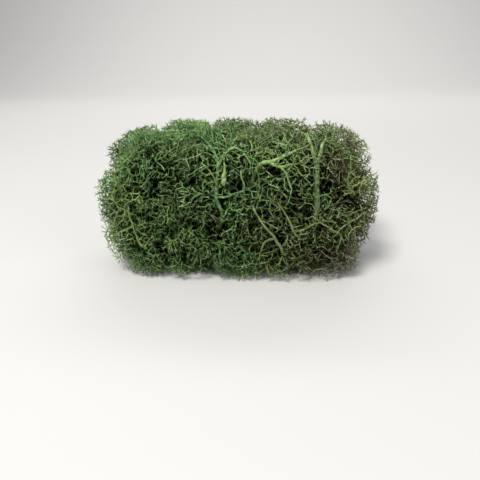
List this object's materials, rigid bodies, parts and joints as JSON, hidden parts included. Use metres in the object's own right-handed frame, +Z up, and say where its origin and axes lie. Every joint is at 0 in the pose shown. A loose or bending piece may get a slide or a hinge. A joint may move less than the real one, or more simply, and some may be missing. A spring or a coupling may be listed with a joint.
{
  "type": "reindeer moss clump",
  "caption": "Cushion of dyed reindeer moss: forked lichen heads on thin stalks, packed side by side, resting flat on their cut feet.",
  "frame": {"origin": "middle of the clump's length and depth, on the surface that its cut feet rest on", "axes": "+X along the length, the front faces -Y, +Z up"},
  "size_m": [0.1804, 0.0969, 0.0934],
  "materials": {
    "green_lichen": "dry matt lichen, dyed moss green, dark inside and lighter at the tips",
    "olive_lichen": "dry matt lichen, dyed olive green, dark inside and lighter at the tips",
    "old_lichen": "old matt lichen stalks, olive brown"
  },
  "bodies": {
    "root": {"old_stalk_01": "old_lichen", "old_stalk_02": "old_lichen", "old_stalk_03": "old_lichen", "low_head_01": "olive_lichen", "low_head_02": "olive_lichen", "low_head_03": "olive_lichen", "low_head_04": "green_lichen", "low_head_05": "green_lichen", "low_head_06": "green_lichen", "low_head_07": "green_lichen", "low_head_08": "green_lichen", "low_head_09": "green_lichen", "low_head_10": "green_lichen", "low_head_11": "olive_lichen", "low_head_12": "olive_lichen", "middle_head_01": "olive_lichen", "middle_head_02": "olive_lichen", "middle_head_03": "green_lichen", "middle_head_04": "green_lichen", "middle_head_05": "green_lichen", "middle_head_06": "green_lichen", "middle_head_07": "green_lichen", "middle_head_08": "green_lichen", "middle_head_09": "green_lichen", "middle_head_10": "olive_lichen", "middle_head_11": "olive_lichen", "middle_head_12": "olive_lichen", "top_head_01": "olive_lichen", "top_head_02": "olive_lichen", "top_head_03": "green_lichen", "top_head_04": "green_lichen", "top_head_05": "green_lichen", "top_head_06": "green_lichen", "top_head_07": "green_lichen", "top_head_08": "olive_lichen", "top_head_09": "olive_lichen", "crown_head_01": "olive_lichen", "crown_head_02": "green_lichen", "crown_head_03": "green_lichen"}
  },
  "joints": []
}
